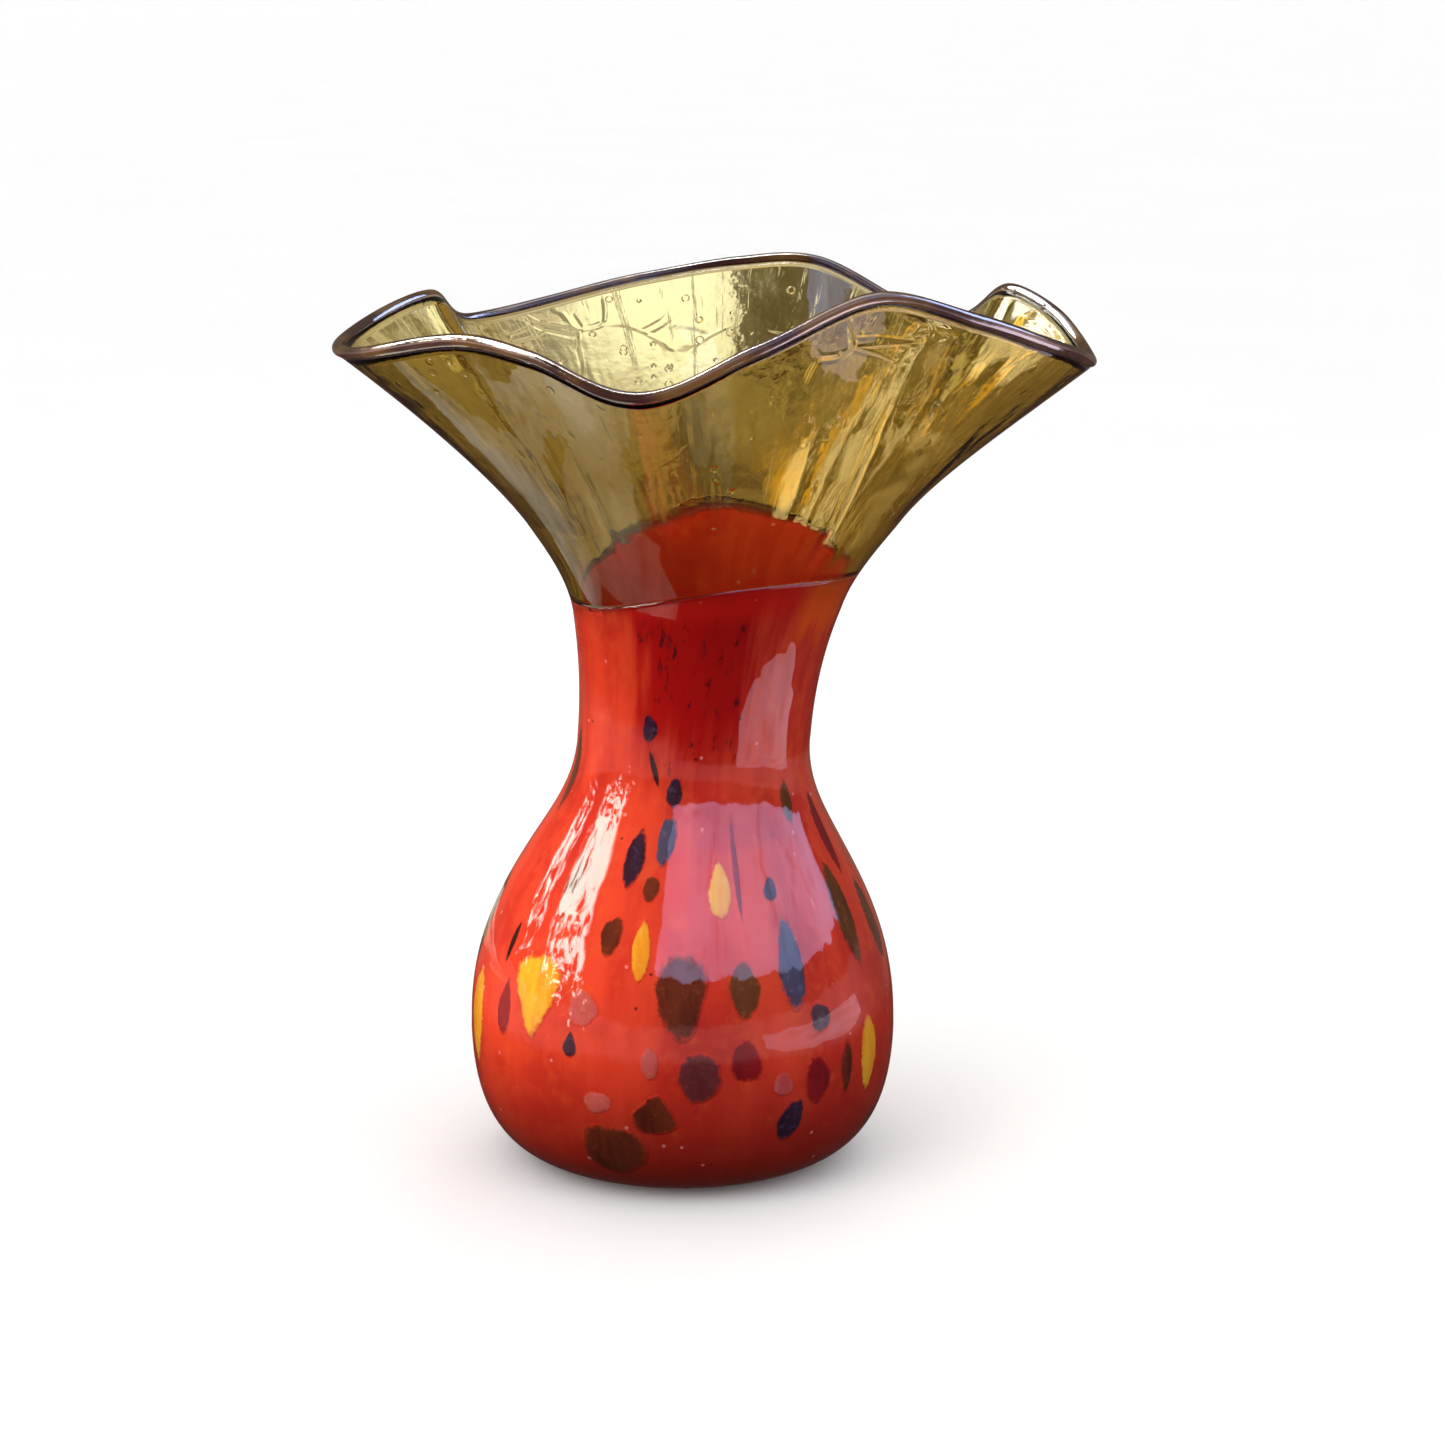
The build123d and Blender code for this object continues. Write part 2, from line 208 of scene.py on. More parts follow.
def rim_at(azimuth):
    """Smooth radius, height and slope of the rim between the listed folds."""
    count = len(RIM)
    turned = (math.degrees(azimuth) - RIM[0][0]) % 360 + RIM[0][0]
    index = max(i for i in range(count) if RIM[i][0] <= turned)
    rows = []
    for offset in (-1, 0, 1, 2):
        lap, place = divmod(index + offset, count)
        rows.append((RIM[place][0] + 360 * lap,) + RIM[place][1:])
    before, start, end, after = rows
    span = end[0] - start[0]
    t = (turned - start[0]) / span
    values = []
    for k in (1, 2, 3):
        leave = (end[k] - before[k]) / (end[0] - before[0]) * span
        arrive = (after[k] - start[k]) / (after[0] - start[0]) * span
        value = (2 * t ** 3 - 3 * t ** 2 + 1) * start[k] + (t ** 3 - 2 * t ** 2 + t) * leave
        value += (3 * t ** 2 - 2 * t ** 3) * end[k] + (t ** 3 - t ** 2) * arrive
        values.append(value)
    return values


def ruffle(azimuth):
    """Profile curve from the top of the flare out to the rim at an azimuth."""
    radius, height, lean = rim_at(azimuth)
    run, rise = slope(FLARE, 1.0)
    base = FLARE[3]
    leave = (base[0] + FLARE_REACH * run, base[1] + FLARE_REACH * rise, base[2])
    back = RIM_REACH * math.cos(math.radians(lean))
    down = RIM_REACH * math.sin(math.radians(lean))
    return [base, leave, (radius - back, height - down, RIM_DRIFT), (radius, height, RIM_DRIFT)]


def crease(along, azimuth):
    """How far the folds of the mouth are pinched into the wall: sharp in azimuth, fading to both ends."""
    pinch = 0.0
    for centre, spread, deep in CREASES:
        aside = (azimuth - math.radians(centre) + math.pi) % (2 * math.pi) - math.pi
        pinch += deep * max(0.0, 1 - abs(aside) / math.radians(spread)) ** 1.5
    start = min(1.0, max(0.0, (along - CREASE_START) / CREASE_GROW))
    stop = min(1.0, max(0.0, (CREASE_STOP - along) / CREASE_FADE))
    return pinch * start * start * (3 - 2 * start) * stop * stop * (3 - 2 * stop)


def upper_point(along, depth, azimuth):
    """Point of the neck (0 to 1), the flare (1 to 2) or the ruffle (2 to 3) at a depth in the wall."""
    if along < 1:
        return around(inset(NECK, along, depth), azimuth)
    pinch = crease(along, azimuth)
    if along < 2:
        return around(inset(FLARE, along - 1, depth + pinch), azimuth)
    thin = 1 - (along - 2) * (WALL - LIP_WALL) / WALL
    return around(inset(ruffle(azimuth), along - 2, depth * thin + pinch), azimuth)


def seam_place(depth, azimuth):
    """Where along the neck and flare the wall crosses the seam."""
    low, high = 0.5, 2.0
    for _ in range(SEARCH_STEPS):
        middle = (low + high) / 2
        point = upper_point(middle, depth, azimuth)
        if point.z < seam_height(point.x, point.y):
            low = middle
        else:
            high = middle
    return low


def azimuths():
    """Azimuths of the points round the axis, in radians."""
    return [2 * math.pi * k / ROUND_STEPS for k in range(ROUND_STEPS)]


def profile_table():
    """Fine table of the body's profile: radius, height, drift and direction."""
    rows = []
    for curve in (FOOT, SHOULDER, WAIST, NECK):
        for step in range(PROFILE_STEPS):
            rows.append(bezier(curve, step / PROFILE_STEPS) + slope(curve, step / PROFILE_STEPS))
    return rows


PROFILE = profile_table()
PROFILE_COLUMNS = np.array(PROFILE).T


# ---------------------------------------------------------------- meshes
def new_piece(name, points, faces):
    """Smooth-shaded object from points in mm and faces."""
    mesh = bpy.data.meshes.new(name)
    mesh.from_pydata([p * MM for p in points], [], faces)
    mesh.validate()
    mesh.shade_smooth()
    piece = bpy.data.objects.new(name, mesh)
    bpy.context.scene.collection.objects.link(piece)
    return piece


def hoop_faces(rows, closed=False, start=0):
    """Quads between rows of points that each go once round the axis."""
    faces = []
    for r in range(rows if closed else rows - 1):
        here = start + r * ROUND_STEPS
        there = start + (r + 1) % rows * ROUND_STEPS
        for k in range(ROUND_STEPS):
            after = (k + 1) % ROUND_STEPS
            faces.append((here + k, here + after, there + after, there + k))
    return faces


def dimple(point, azimuth):
    """Shallow hand-made unevenness of the outer surface, never proud of the true profile."""
    wave = math.sin(3 * azimuth + 0.05 * point.z) + math.sin(5 * azimuth - 0.08 * point.z + 1.3)
    wave += math.sin(2 * azimuth + 0.11 * point.z + 2.1)
    return DIMPLE * (3 - wave)


def body_rows(depth, dimpled):
    """Rows of the body surface at a depth, from the foot's edge up to the seam."""
    rows = []
    for curve, count in BODY_ROWS:
        for step in range(count):
            row = []
            for azimuth in azimuths():
                point = around(inset(curve, step / count, depth), azimuth)
                extra = dimple(point, azimuth) if dimpled and curve is not FOOT else 0.0
                row.append(around(inset(curve, step / count, depth + extra), azimuth))
            rows.append(row)
    ends = [seam_place(depth, azimuth) for azimuth in azimuths()]
    for step in range(NECK_ROWS + 1):
        row = []
        for azimuth, end in zip(azimuths(), ends):
            row.append(upper_point(end * step / NECK_ROWS, depth, azimuth))
        rows.append(row)
    return rows


def closed_vessel(name, outer, inner):
    """Vessel closed by its floor discs, from rows outside going up and rows inside going up."""
    rows = outer + inner[::-1]
    points = [p for row in rows for p in row]
    faces = hoop_faces(len(rows))
    for row, height, flip in ((0, outer[0][0].z, True), (len(rows) - 1, inner[0][0].z, False)):
        centre = len(points)
        points.append(Vector((0, 0, height)))
        start = row * ROUND_STEPS
        for k in range(ROUND_STEPS):
            a, b = start + k, start + (k + 1) % ROUND_STEPS
            faces.append((centre, b, a) if flip else (centre, a, b))
    return new_piece(name, points, faces)


def casing_mesh():
    """Clear casing: outer skin, seam edge and an inside just within the colour, so that no air shows."""
    inside = body_rows(CASING + CASING_SINK, False)
    return closed_vessel("clear_casing_glass", body_rows(0.0, True), inside)


def core_mesh():
    """Opaque colour gather: outside under the casing, seam edge, inner wall and heavy floor."""
    outer = body_rows(CASING, False)
    inner = []
    for curve, count in BODY_ROWS:
        for step in range(count):
            point = inset(curve, step / count, hollow_depth(bezier(curve, step / count)[1]))
            inner.append([around(point, azimuth) for azimuth in azimuths()])
    ends = [seam_place(WALL, azimuth) for azimuth in azimuths()]
    for step in range(NECK_ROWS + 1):
        inner.append([upper_point(end * step / NECK_ROWS, WALL, a) for a, end in zip(azimuths(), ends)])
    return closed_vessel("orange_red_core_glass", outer, inner)


def hollow_depth(height):
    """Distance from the outside to the hollow: the wall, thickening into the floor."""
    fade = max(0.0, 1 - height / FLOOR_FADE)
    return WALL + (FLOOR - WALL) * fade ** 2


def chip_placer(azimuth, height, lean):
    """Function that lays a point of a chip, given across and up its middle, on the wall at a depth."""
    base = min(range(len(PROFILE)), key=lambda i: abs(PROFILE[i][1] - height))
    radius, level, _, run, rise = PROFILE[base]
    reach = (PROFILE_COLUMNS[0] - radius) * run + (PROFILE_COLUMNS[1] - level) * rise
    turned = math.radians(lean)

    def lay(across, up, depth):
        a = across * math.cos(turned) + up * math.sin(turned)
        b = up * math.cos(turned) - across * math.sin(turned)
        r, z, drift, out, lift = (float(np.interp(b, reach, column)) for column in PROFILE_COLUMNS)
        r, z = r - depth * lift, z + depth * out
        return around((r, z, drift), math.radians(azimuth) + math.asin(max(-1, min(1, a / r))))

    return lay


def chip_outline(row, seed, phases, angle, share):
    """Point of a chip's outline at an angle, more ragged the nearer share is to 1, its edge."""
    _, _, _, width, length, _, (point, narrow, wobble) = row
    waver = 1 + wobble * math.cos(3 * angle + CHIP_TURN * seed)
    waver += wobble / 2 * math.sin(4 * angle + 2 * CHIP_TURN * seed)
    for order, phase in zip((2, 3, 5, 7, 11, 16), phases):
        waver += CHIP_RAGGED / order ** 0.6 * math.sin(order * angle + phase) * share
    across = width / 2 * math.sin(angle) * abs(math.sin(angle)) ** point
    across *= waver * (1 - narrow * math.cos(angle))
    up = length / 2 * math.cos(angle) * (1 + (waver - 1) * min(1.0, width / length * 1.6))
    return across, up


def chip_faces():
    """Quads of a chip's top, its underside and the rim between them."""
    under = (CHIP_RINGS + 1) * CHIP_SIDES
    faces = []
    for ring in range(CHIP_RINGS):
        for side in range(CHIP_SIDES):
            a = ring * CHIP_SIDES + side
            b = ring * CHIP_SIDES + (side + 1) % CHIP_SIDES
            faces.append((a, b, b + CHIP_SIDES, a + CHIP_SIDES))
            faces.append((under + a, under + a + CHIP_SIDES, under + b + CHIP_SIDES, under + b))
    for side in range(CHIP_SIDES):
        a = CHIP_RINGS * CHIP_SIDES + side
        b = CHIP_RINGS * CHIP_SIDES + (side + 1) % CHIP_SIDES
        faces.append((a, b, b + under, a + under))
    return faces


def chip_mesh(name, seed, row):
    """One chip: a thin melted flake lying on the colour, its edge feathered and uneven."""
    rng = random.Random(seed)
    phases = [rng.uniform(0, 2 * math.pi) for _ in range(6)]
    lay = chip_placer(row[1], row[2], row[5])
    top, bottom, fade = [], [], []
    for ring in range(CHIP_RINGS + 1):
        share = (ring / CHIP_RINGS) ** 0.8
        for side in range(CHIP_SIDES):
            across, up = chip_outline(row, seed, phases, 2 * math.pi * side / CHIP_SIDES, share)
            top.append(lay(across * share, up * share, CASING - CHIP * (1 - share ** 5)))
            bottom.append(lay(across * share, up * share, CASING + CHIP_SINK))
            fade.append(share)
    piece = new_piece(name, top + bottom, chip_faces())
    attribute = piece.data.attributes.new("edge", "FLOAT", "POINT")
    attribute.data.foreach_set("value", fade + fade)
    return piece


def mouth_mesh():
    """Amber wall from the seam to the rim, its top edge hidden within the bead."""
    shares = [step / MOUTH_ROWS for step in range(MOUTH_ROWS + 1)]
    rows = []
    for depth, climb in ((0.0, shares), (WALL, shares[::-1])):
        starts = [seam_place(depth, azimuth) - SEAM_LAP for azimuth in azimuths()]
        for share in climb:
            rows.append([upper_point(s + (3 - s) * share, depth, a) for a, s in zip(azimuths(), starts)])
    points = [p for row in rows for p in row]
    piece = new_piece("amber_mouth_glass", points, hoop_faces(len(rows), closed=True))
    rise = [share for share in shares + shares[::-1] for _ in range(ROUND_STEPS)]
    piece.data.attributes.new("rise", "FLOAT", "POINT").data.foreach_set("value", rise)
    return piece


def bead_mesh():
    """Bead wrapped round the rim, a little uneven as trailed by hand."""
    rows = [[] for _ in range(BEAD_SIDES)]
    seat = math.sqrt(LIP_BEAD ** 2 - (LIP_WALL / 2) ** 2)
    for azimuth in azimuths():
        curve = ruffle(azimuth)
        run, rise = slope(curve, 1.0)
        level = Vector((math.sin(azimuth), -math.cos(azimuth), 0))
        along = level * run + Vector((0, 0, rise))
        outward = level * rise - Vector((0, 0, run))
        centre = around(inset(curve, 1.0, LIP_WALL / 2), azimuth) + along * seat
        uneven = 0.93 + 0.045 * math.sin(7 * azimuth + 0.8) + 0.025 * math.sin(17 * azimuth)
        for side in range(BEAD_SIDES):
            turn = 2 * math.pi * side / BEAD_SIDES
            around_bead = outward * math.cos(turn) - along * math.sin(turn)
            rows[side].append(centre + around_bead * LIP_BEAD * uneven)
    points = [p for row in rows for p in row]
    return new_piece("lip_wrap_bead", points, hoop_faces(BEAD_SIDES, closed=True))


# ---------------------------------------------------------------- glass colours (linear red, green, blue)
GLASS_IOR = 1.5
AMBER_PASSES = (0.725, 0.624, 0.235, 1)     # absorbs AMBER_DENSITY times what is missing, per metre
AMBER_DENSITY = 640.0
AMBER_CLEAR = (1.0, 0.985, 0.94, 1)
SEAM_GOLD = (0.50, 0.27, 0.04, 1)
LIP_PASSES = (0.42, 0.16, 0.14, 1)
LIP_DENSITY = 520.0
LIP_AMETHYST = (0.045, 0.016, 0.014, 1)
LIP_BROWN = (0.16, 0.075, 0.022, 1)
CASING_CLEAR = (0.985, 0.99, 0.985, 1)
CASING_SHADOW = (0.95, 0.95, 0.94, 1)
ORANGE_RED = (0.82, 0.072, 0.024, 1)
STREAK_RED = (0.66, 0.036, 0.015, 1)
CLOUD_RED = (0.50, 0.018, 0.010, 1)
MOTTLE_ORANGE = (0.88, 0.13, 0.03, 1)
# painted shade: the gather is darkened towards the foot, where less light reaches
FOOT_PAINTED_SHADE = (0.30, 0.012, 0.005, 1)
NECK_RED = (0.50, 0.002, 0.003, 1)
NECK_SPECK = (0.035, 0.004, 0.008, 1)
SEAM_RED = (0.88, 0.016, 0.008, 1)
# painted glow: light through the amber fold lighting the red under the seam
PAINTED_GLOW_ORANGE = (0.95, 0.14, 0.006, 1)
PALE_SEED = (0.95, 0.42, 0.34, 1)
DARK_FRIT = (0.05, 0.008, 0.010, 1)

# Chip colours: main, deeper streaks, lighter grain.
CHIP_COLOURS = {
    "navy": ((0.014, 0.013, 0.036, 1), (0.006, 0.005, 0.016, 1), (0.09, 0.10, 0.16, 1)),
    "blue": ((0.060, 0.078, 0.125, 1), (0.012, 0.018, 0.040, 1), (0.17, 0.20, 0.28, 1)),
    "brown": ((0.150, 0.028, 0.008, 1), (0.075, 0.014, 0.005, 1), (0.26, 0.060, 0.015, 1)),
    "olive": ((0.150, 0.052, 0.012, 1), (0.075, 0.028, 0.008, 1), (0.24, 0.12, 0.04, 1)),
    "yellow": ((0.90, 0.54, 0.022, 1), (0.88, 0.32, 0.018, 1), (0.95, 0.62, 0.16, 1)),
    "crimson": ((0.30, 0.008, 0.012, 1), (0.17, 0.005, 0.010, 1), (0.46, 0.02, 0.02, 1)),
    "pink": ((0.62, 0.13, 0.10, 1), (0.55, 0.07, 0.055, 1), (0.72, 0.26, 0.22, 1)),
    "mauve": ((0.15, 0.028, 0.028, 1), (0.09, 0.016, 0.018, 1), (0.24, 0.06, 0.06, 1)),
    "black": ((0.012, 0.009, 0.010, 1), (0.005, 0.004, 0.005, 1), (0.04, 0.02, 0.02, 1)),
}

# ---------------------------------------------------------------- node materials
class Graph:
    """A material's node tree with short calls to add and wire nodes."""

    def __init__(self, name, owners=None, output="Material"):
        self.material = (bpy.data.materials if owners is None else owners).new(name)
        self.material.use_nodes = True
        self.tree = self.material.node_tree
        self.tree.nodes.clear()
        self.output = self.tree.nodes.new("ShaderNodeOutput" + output)

    def feed(self, socket, value):
        """Link a socket, or set its value."""
        if isinstance(value, bpy.types.NodeSocket):
            self.tree.links.new(value, socket)
        else:
            socket.default_value = value

    def add(self, kind, settings=None, **inputs):
        """New shader node, its inputs named with _ for a space."""
        node = self.tree.nodes.new("ShaderNode" + kind)
        for key, value in (settings or {}).items():
            setattr(node, key, value)
        for key, value in inputs.items():
            self.feed(node.inputs[key.replace("_", " ")], value)
        return node

    def math(self, operation, *values):
        node = self.add("Math", {"operation": operation})
        for socket, value in zip(node.inputs, values):
            self.feed(socket, value)
        return node.outputs[0]

    def ramp(self, value, low, high, start=0.0, end=1.0):
        """Smooth step of value from low to high."""
        settings = {"interpolation_type": "SMOOTHSTEP"}
        node = self.add("MapRange", settings, From_Min=low, From_Max=high, To_Min=start, To_Max=end)
        self.feed(node.inputs["Value"], value)
        return node.outputs[0]

    def mix(self, factor, first, second):
        node = self.add("Mix", {"data_type": "RGBA"})
        self.feed(node.inputs[0], factor)
        self.feed(node.inputs[6], first)
        self.feed(node.inputs[7], second)
        return node.outputs[2]

    def noise(self, vector, scale, detail=3.0, roughness=0.5):
        node = self.add("TexNoise", Vector=vector, Scale=scale, Detail=detail, Roughness=roughness)
        return node.outputs["Fac"]

    def place(self):
        """Object-space position with x, y, z split, in metres."""
        spot = self.add("TexCoord").outputs["Object"]
        split = self.add("SeparateXYZ", Vector=spot)
        return spot, split.outputs[0], split.outputs[1], split.outputs[2]

    def stretched(self, across, up):
        """Coordinates that draw texture out up the wall: direction round the axis, and height."""
        _, x, y, z = self.place()
        drift = self.ramp(z, 0.08, 0.19, 0.0, 0.0095)
        x = self.math("SUBTRACT", x, drift)
        square = self.math("ADD", self.math("MULTIPLY", x, x), self.math("MULTIPLY", y, y))
        radius = self.math("MAXIMUM", self.math("SQRT", square), 0.001)
        turn_x = self.math("MULTIPLY", self.math("DIVIDE", x, radius), across)
        turn_y = self.math("MULTIPLY", self.math("DIVIDE", y, radius), across)
        rise = self.math("MULTIPLY", z, up)
        azimuth = self.math("ARCTAN2", x, self.math("MULTIPLY", y, -1.0))
        vector = self.add("CombineXYZ", X=turn_x, Y=turn_y, Z=rise).outputs[0]
        return vector, azimuth, z

    def band(self, value, low, high, soft):
        """1 between low and high, 0 outside, with soft edges."""
        inside = self.ramp(value, low - soft, low + soft)
        return self.math("MULTIPLY", inside, self.ramp(value, high + soft, high - soft))

    def dots(self, vector, scale, size, share):
        """Scattered round dots in a share of the cells."""
        cells = self.add("TexVoronoi", Vector=vector, Scale=scale)
        lot = self.add("SeparateColor", Color=cells.outputs["Color"]).outputs[0]
        chosen = self.math("LESS_THAN", lot, share)
        return self.math("MULTIPLY", self.ramp(cells.outputs["Distance"], size, size * 0.6), chosen)

    def attribute(self, name):
        return self.add("Attribute", {"attribute_name": name}).outputs["Fac"]

    def bump(self, height, strength, distance):
        return self.add("Bump", Strength=strength, Distance=distance, Height=height).outputs[0]

    def surface(self, shader):
        self.feed(self.output.inputs["Surface"], shader)
        return self.material


def clear_glass():
    """Clear casing with faint swirls of the gather in its surface."""
    g = Graph("clear_glass")
    wave, _, _ = g.stretched(3.2, 34.0)
    spot, _, _, _ = g.place()
    swirl = g.math("ADD", g.noise(wave, 1.0, 2.0), g.math("MULTIPLY", g.noise(spot, 90.0, 2.0), 0.25))
    normal = g.bump(swirl, 0.30, 0.0012)
    roughness = g.ramp(g.noise(spot, 60.0, 4.0), 0.45, 0.75, 0.0, 0.02)
    surface = {"Roughness": roughness, "IOR": GLASS_IOR, "Normal": normal}
    glass = g.add("BsdfPrincipled", Base_Color=CASING_CLEAR, **surface)
    glass.inputs["Transmission Weight"].default_value = 1.0
    clear = g.add("BsdfTransparent", Color=CASING_SHADOW)
    shadow = g.add("LightPath").outputs["Is Shadow Ray"]
    mixed = g.add("MixShader", Fac=shadow)
    g.feed(mixed.inputs[1], glass.outputs[0])
    g.feed(mixed.inputs[2], clear.outputs[0])
    return g.surface(mixed.outputs[0])


def amber():
    """Clear amber glass: cords drawn along the wall, rings parallel to the rim and small seeds."""
    g = Graph("amber_glass")
    wave, _, _ = g.stretched(4.0, 22.0)
    spot, _, _, _ = g.place()
    rise = g.attribute("rise")
    bent = g.math("ADD", g.math("MULTIPLY", rise, 26.0), g.math("MULTIPLY", g.noise(spot, 14.0, 2.0), 9.0))
    upper = g.math("MULTIPLY", g.ramp(rise, 0.50, 0.95), g.ramp(g.noise(spot, 8.0, 2.0), 0.40, 0.62))
    rings = g.math("MULTIPLY", g.math("SINE", bent), upper)
    fine = g.math("MULTIPLY", g.math("SINE", g.math("MULTIPLY", bent, 4.3)), upper)
    height = g.math("ADD", g.noise(wave, 1.0, 3.0), g.math("MULTIPLY", g.noise(spot, 55.0, 4.0, 0.6), 0.20))
    height = g.math("MULTIPLY", height, g.ramp(rise, 0.25, 0.75, 0.05, 0.85))
    warped = g.add("VectorMath", {"operation": "MULTIPLY_ADD"})
    g.feed(warped.inputs[0], g.add("TexNoise", Vector=spot, Scale=24.0).outputs["Color"])
    g.feed(warped.inputs[1], (0.02, 0.02, 0.02))
    g.feed(warped.inputs[2], spot)
    cells = g.add("TexVoronoi", {"feature": "DISTANCE_TO_EDGE"}, Vector=warped.outputs[0], Scale=34.0)
    patches = g.math("MULTIPLY", g.ramp(g.noise(spot, 21.0, 2.0), 0.56, 0.62), g.ramp(rise, 0.70, 0.80))
    crackle = g.math("MULTIPLY", g.ramp(cells.outputs["Distance"], 0.035, 0.0), patches)
    height = g.math("SUBTRACT", height, g.math("MULTIPLY", crackle, 0.10))
    height = g.math("ADD", height, g.math("MULTIPLY", rings, 0.09))
    height = g.math("ADD", height, g.math("MULTIPLY", fine, 0.018))
    seeds = g.math("MULTIPLY", g.dots(spot, 210.0, 0.30, 0.10), g.ramp(rise, 0.30, 0.55, 0.15, 1.0))
    height = g.math("ADD", height, g.math("MULTIPLY", seeds, 0.18))
    scratches, _, _ = g.stretched(30.0, 20.0)
    swirls = g.ramp(g.noise(scratches, 1.6, 5.0, 0.7), 0.60, 0.68)
    height = g.math("ADD", height, g.math("MULTIPLY", swirls, g.ramp(rise, 0.30, 0.60, 0.0, 0.03)))
    normal = g.bump(height, 0.42, 0.0010)
    haze = g.math("MULTIPLY", g.ramp(g.noise(spot, 30.0, 5.0, 0.65), 0.42, 0.75), 0.10)
    joint = g.ramp(rise, 0.014, 0.002)
    tint = g.mix(joint, AMBER_CLEAR, SEAM_GOLD)
    glass = g.add("BsdfPrincipled", Base_Color=tint, Roughness=haze, IOR=GLASS_IOR, Normal=normal)
    glass.inputs["Transmission Weight"].default_value = 1.0
    volume = g.add("VolumeAbsorption", Color=AMBER_PASSES, Density=AMBER_DENSITY)
    g.feed(g.output.inputs["Volume"], volume.outputs[0])
    return g.surface(glass.outputs[0])


def lip():
    """Dark amethyst-brown bead, trailed on by hand with fine lines along it."""
    g = Graph("lip_glass")
    spot, _, _, _ = g.place()
    height = g.math("ADD", g.noise(spot, 60.0, 3.0), g.math("MULTIPLY", g.noise(spot, 420.0, 3.0), 0.15))
    normal = g.bump(height, 0.35, 0.0012)
    roughness = g.ramp(g.noise(spot, 80.0, 4.0), 0.40, 0.75, 0.07, 0.20)
    streaks = g.ramp(g.noise(spot, 45.0, 3.0), 0.42, 0.66)
    tone = g.mix(streaks, LIP_AMETHYST, LIP_BROWN)
    glass = g.add("BsdfPrincipled", Base_Color=tone, Roughness=roughness, IOR=GLASS_IOR, Normal=normal)
    glass.inputs["Specular IOR Level"].default_value = 0.27
    glass.inputs["Transmission Weight"].default_value = 0.30
    volume = g.add("VolumeAbsorption", Color=LIP_PASSES, Density=LIP_DENSITY)
    g.feed(g.output.inputs["Volume"], volume.outputs[0])
    return g.surface(glass.outputs[0])


def body_colour(g):
    """Colour of the orange-red gather, shared by the core and the melted edges of the chips, with painted
    shade towards the foot and a painted glow under the seam on the right.
    """
    wave, azimuth, z = g.stretched(2.6, 10.0)
    fine, _, _ = g.stretched(17.0, 42.0)
    spot, _, _, _ = g.place()
    streak = g.noise(wave, 1.3, 5.0, 0.6)
    colour = g.mix(g.ramp(streak, 0.35, 0.65), ORANGE_RED, STREAK_RED)
    cloud = g.ramp(g.noise(spot, 30.0, 4.0, 0.6), 0.50, 0.68, 0.0, 0.60)
    colour = g.mix(cloud, colour, CLOUD_RED)
    mottle = g.ramp(g.noise(spot, 130.0, 4.0, 0.6), 0.5, 0.72, 0.0, 0.35)
    colour = g.mix(mottle, colour, MOTTLE_ORANGE)
    # painted shade: darker towards the foot, from 50 mm high down to 2 mm
    colour = g.mix(g.ramp(z, 0.050, 0.002, 0.0, 0.94), colour, FOOT_PAINTED_SHADE)
    # deep red front of the neck, ragged where its streaks run down into the shoulder
    ragged = g.math("MULTIPLY", g.math("SUBTRACT", g.noise(fine, 0.6, 3.0), 0.5), 0.7)
    side = g.math("ADD", g.math("ABSOLUTE", g.math("ADD", azimuth, 0.05)), ragged)
    low = g.math("ADD", z, g.math("MULTIPLY", ragged, 0.045))
    deep = g.math("MULTIPLY", g.ramp(low, 0.112, 0.140), g.ramp(side, 0.68, 0.36))
    colour = g.mix(g.math("MULTIPLY", deep, 0.94), colour, NECK_RED)
    speck_area = g.math("MULTIPLY", g.ramp(side, 0.62, 0.30), g.band(z, 0.122, 0.168, 0.006))
    grain, _, _ = g.stretched(13.0, 120.0)
    specks = g.ramp(g.noise(grain, 1.0, 6.0, 0.8), 0.56, 0.62)
    specks = g.math("MULTIPLY", g.math("MULTIPLY", specks, speck_area), 0.9)
    colour = g.mix(specks, colour, NECK_SPECK)
    # bright red edge under the seam, and beside it a painted glow of light through the amber fold
    edge = g.math("MULTIPLY", g.ramp(z, 0.164, 0.174), g.ramp(g.math("ABSOLUTE", azimuth), 0.9, 0.5))
    colour = g.mix(g.math("MULTIPLY", edge, 0.8), colour, SEAM_RED)
    # painted glow: orange where light through the amber fold falls on the red, right of the front
    warm_glow = g.math("MULTIPLY", g.band(azimuth, 0.72, 1.30, 0.10), g.band(low, 0.160, 0.184, 0.006))
    colour = g.mix(g.math("MULTIPLY", warm_glow, 0.9), colour, PAINTED_GLOW_ORANGE)
    # small pale seeds and dark specks of frit
    colour = g.mix(g.math("MULTIPLY", g.dots(spot, 190.0, 0.13, 0.22), 0.55), colour, PALE_SEED)
    return g.mix(g.math("MULTIPLY", g.dots(spot, 240.0, 0.16, 0.07), 0.8), colour, DARK_FRIT)


def cased_surface(g, colour):
    """Matt colour in full contact with the clear glass over it, so it has no shine of its own."""
    spot, _, _, _ = g.place()
    normal = g.bump(g.noise(spot, 220.0, 3.0), 0.12, 0.0005)
    shader = g.add("BsdfPrincipled", Base_Color=colour, Roughness=0.5, Normal=normal)
    shader.inputs["Specular IOR Level"].default_value = 0.04
    return g.surface(shader.outputs[0])


def orange_red():
    """Colour gather of the core."""
    g = Graph("orange_red_glass")
    return cased_surface(g, body_colour(g))


